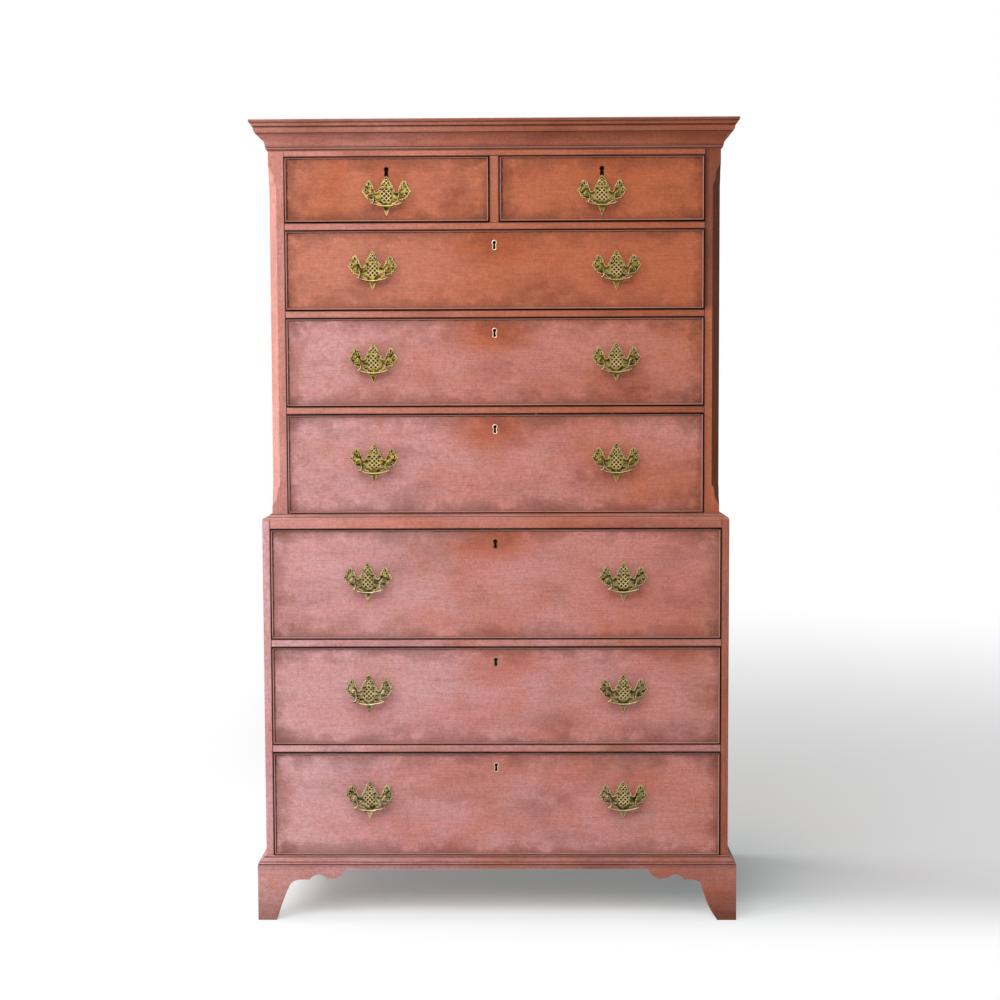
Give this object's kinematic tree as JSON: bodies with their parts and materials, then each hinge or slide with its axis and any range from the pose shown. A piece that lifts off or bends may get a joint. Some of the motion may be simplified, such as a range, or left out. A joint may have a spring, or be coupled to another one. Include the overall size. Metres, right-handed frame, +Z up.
{
  "type": "chest on chest",
  "caption": "Tall two-part chest of drawers with a moulded cornice, canted upper corners, cockbeaded drawers, brass bail handles and bracket feet.",
  "frame": {"origin": "on the floor, under the middle of the chest's bounding box", "axes": "+X to the right seen from the front, +Y from the front to the back, +Z up"},
  "size_m": [1.104, 0.549, 1.83],
  "materials": {
    "washed_wood": "worn salmon-pink wash, waxed",
    "raw_wood": "bare, aged pine",
    "aged_brass": "old brass with a brown-green patina"
  },
  "bodies": {
    "chest": {"lower_carcase": "washed_wood", "lower_back_panel": "raw_wood", "rail_under_lower_drawer_2": "washed_wood", "rail_under_lower_drawer_1": "washed_wood", "base_moulding": "washed_wood", "waist_moulding": "washed_wood", "foot_front_left": "washed_wood", "foot_front_right": "washed_wood", "foot_back_right": "washed_wood", "foot_back_left": "washed_wood", "upper_carcase": "washed_wood", "upper_back_panel": "raw_wood", "cornice": "washed_wood", "rail_under_upper_drawer_2": "washed_wood", "rail_under_upper_drawer_1": "washed_wood", "rail_under_short_drawers": "washed_wood"},
    "short_drawer_right": {"short_drawer_right_front": "washed_wood", "short_drawer_right_box": "raw_wood", "short_drawer_right_plate": "aged_brass"},
    "short_drawer_right_bail": {"short_drawer_right_bail": "aged_brass"},
    "short_drawer_left": {"short_drawer_left_front": "washed_wood", "short_drawer_left_box": "raw_wood", "short_drawer_left_plate": "aged_brass"},
    "short_drawer_left_bail": {"short_drawer_left_bail": "aged_brass"},
    "upper_drawer_1": {"upper_drawer_1_front": "washed_wood", "upper_drawer_1_box": "raw_wood", "upper_drawer_1_plate_left": "aged_brass", "upper_drawer_1_plate_right": "aged_brass"},
    "upper_drawer_1_bail_left": {"upper_drawer_1_bail_left": "aged_brass"},
    "upper_drawer_1_bail_right": {"upper_drawer_1_bail_right": "aged_brass"},
    "upper_drawer_2": {"upper_drawer_2_front": "washed_wood", "upper_drawer_2_box": "raw_wood", "upper_drawer_2_plate_left": "aged_brass", "upper_drawer_2_plate_right": "aged_brass"},
    "upper_drawer_2_bail_left": {"upper_drawer_2_bail_left": "aged_brass"},
    "upper_drawer_2_bail_right": {"upper_drawer_2_bail_right": "aged_brass"},
    "upper_drawer_3": {"upper_drawer_3_front": "washed_wood", "upper_drawer_3_box": "raw_wood", "upper_drawer_3_plate_left": "aged_brass", "upper_drawer_3_plate_right": "aged_brass"},
    "upper_drawer_3_bail_left": {"upper_drawer_3_bail_left": "aged_brass"},
    "upper_drawer_3_bail_right": {"upper_drawer_3_bail_right": "aged_brass"},
    "lower_drawer_1": {"lower_drawer_1_front": "washed_wood", "lower_drawer_1_box": "raw_wood", "lower_drawer_1_plate_left": "aged_brass", "lower_drawer_1_plate_right": "aged_brass"},
    "lower_drawer_1_bail_left": {"lower_drawer_1_bail_left": "aged_brass"},
    "lower_drawer_1_bail_right": {"lower_drawer_1_bail_right": "aged_brass"},
    "lower_drawer_2": {"lower_drawer_2_front": "washed_wood", "lower_drawer_2_box": "raw_wood", "lower_drawer_2_plate_left": "aged_brass", "lower_drawer_2_plate_right": "aged_brass"},
    "lower_drawer_2_bail_left": {"lower_drawer_2_bail_left": "aged_brass"},
    "lower_drawer_2_bail_right": {"lower_drawer_2_bail_right": "aged_brass"},
    "lower_drawer_3": {"lower_drawer_3_front": "washed_wood", "lower_drawer_3_box": "raw_wood", "lower_drawer_3_plate_left": "aged_brass", "lower_drawer_3_plate_right": "aged_brass"},
    "lower_drawer_3_bail_left": {"lower_drawer_3_bail_left": "aged_brass"},
    "lower_drawer_3_bail_right": {"lower_drawer_3_bail_right": "aged_brass"}
  },
  "joints": [
    {"name": "short_drawer_right_slide", "type": "slide", "parent": "chest", "child": "short_drawer_right", "axis": [0, -1, 0], "range_m": [0, 0.38]},
    {"name": "short_drawer_right_bail_swing", "type": "hinge", "parent": "short_drawer_right", "child": "short_drawer_right_bail", "pos_m": [0.244, -0.2504, 1.66575], "axis": [-1, 0, 0], "range_deg": [0, 165]},
    {"name": "short_drawer_left_slide", "type": "slide", "parent": "chest", "child": "short_drawer_left", "axis": [0, -1, 0], "range_m": [0, 0.38]},
    {"name": "short_drawer_left_bail_swing", "type": "hinge", "parent": "short_drawer_left", "child": "short_drawer_left_bail", "pos_m": [-0.244, -0.2504, 1.66575], "axis": [-1, 0, 0], "range_deg": [0, 165]},
    {"name": "upper_drawer_1_slide", "type": "slide", "parent": "chest", "child": "upper_drawer_1", "axis": [0, -1, 0], "range_m": [0, 0.38]},
    {"name": "upper_drawer_1_bail_left_swing", "type": "hinge", "parent": "upper_drawer_1", "child": "upper_drawer_1_bail_left", "pos_m": [-0.277, -0.2504, 1.49775], "axis": [-1, 0, 0], "range_deg": [0, 165]},
    {"name": "upper_drawer_1_bail_right_swing", "type": "hinge", "parent": "upper_drawer_1", "child": "upper_drawer_1_bail_right", "pos_m": [0.277, -0.2504, 1.49775], "axis": [-1, 0, 0], "range_deg": [0, 165]},
    {"name": "upper_drawer_2_slide", "type": "slide", "parent": "chest", "child": "upper_drawer_2", "axis": [0, -1, 0], "range_m": [0, 0.38]},
    {"name": "upper_drawer_2_bail_left_swing", "type": "hinge", "parent": "upper_drawer_2", "child": "upper_drawer_2_bail_left", "pos_m": [-0.277, -0.2504, 1.289], "axis": [-1, 0, 0], "range_deg": [0, 165]},
    {"name": "upper_drawer_2_bail_right_swing", "type": "hinge", "parent": "upper_drawer_2", "child": "upper_drawer_2_bail_right", "pos_m": [0.277, -0.2504, 1.289], "axis": [-1, 0, 0], "range_deg": [0, 165]},
    {"name": "upper_drawer_3_slide", "type": "slide", "parent": "chest", "child": "upper_drawer_3", "axis": [0, -1, 0], "range_m": [0, 0.38]},
    {"name": "upper_drawer_3_bail_left_swing", "type": "hinge", "parent": "upper_drawer_3", "child": "upper_drawer_3_bail_left", "pos_m": [-0.277, -0.2504, 1.06], "axis": [-1, 0, 0], "range_deg": [0, 165]},
    {"name": "upper_drawer_3_bail_right_swing", "type": "hinge", "parent": "upper_drawer_3", "child": "upper_drawer_3_bail_right", "pos_m": [0.277, -0.2504, 1.06], "axis": [-1, 0, 0], "range_deg": [0, 165]},
    {"name": "lower_drawer_1_slide", "type": "slide", "parent": "chest", "child": "lower_drawer_1", "axis": [0, -1, 0], "range_m": [0, 0.38]},
    {"name": "lower_drawer_1_bail_left_swing", "type": "hinge", "parent": "lower_drawer_1", "child": "lower_drawer_1_bail_left", "pos_m": [-0.2925, -0.2689, 0.788], "axis": [-1, 0, 0], "range_deg": [0, 165]},
    {"name": "lower_drawer_1_bail_right_swing", "type": "hinge", "parent": "lower_drawer_1", "child": "lower_drawer_1_bail_right", "pos_m": [0.2925, -0.2689, 0.788], "axis": [-1, 0, 0], "range_deg": [0, 165]},
    {"name": "lower_drawer_2_slide", "type": "slide", "parent": "chest", "child": "lower_drawer_2", "axis": [0, -1, 0], "range_m": [0, 0.38]},
    {"name": "lower_drawer_2_bail_left_swing", "type": "hinge", "parent": "lower_drawer_2", "child": "lower_drawer_2_bail_left", "pos_m": [-0.2925, -0.2689, 0.5295], "axis": [-1, 0, 0], "range_deg": [0, 165]},
    {"name": "lower_drawer_2_bail_right_swing", "type": "hinge", "parent": "lower_drawer_2", "child": "lower_drawer_2_bail_right", "pos_m": [0.2925, -0.2689, 0.5295], "axis": [-1, 0, 0], "range_deg": [0, 165]},
    {"name": "lower_drawer_3_slide", "type": "slide", "parent": "chest", "child": "lower_drawer_3", "axis": [0, -1, 0], "range_m": [0, 0.38]},
    {"name": "lower_drawer_3_bail_left_swing", "type": "hinge", "parent": "lower_drawer_3", "child": "lower_drawer_3_bail_left", "pos_m": [-0.2925, -0.2689, 0.28225], "axis": [-1, 0, 0], "range_deg": [0, 165]},
    {"name": "lower_drawer_3_bail_right_swing", "type": "hinge", "parent": "lower_drawer_3", "child": "lower_drawer_3_bail_right", "pos_m": [0.2925, -0.2689, 0.28225], "axis": [-1, 0, 0], "range_deg": [0, 165]}
  ]
}
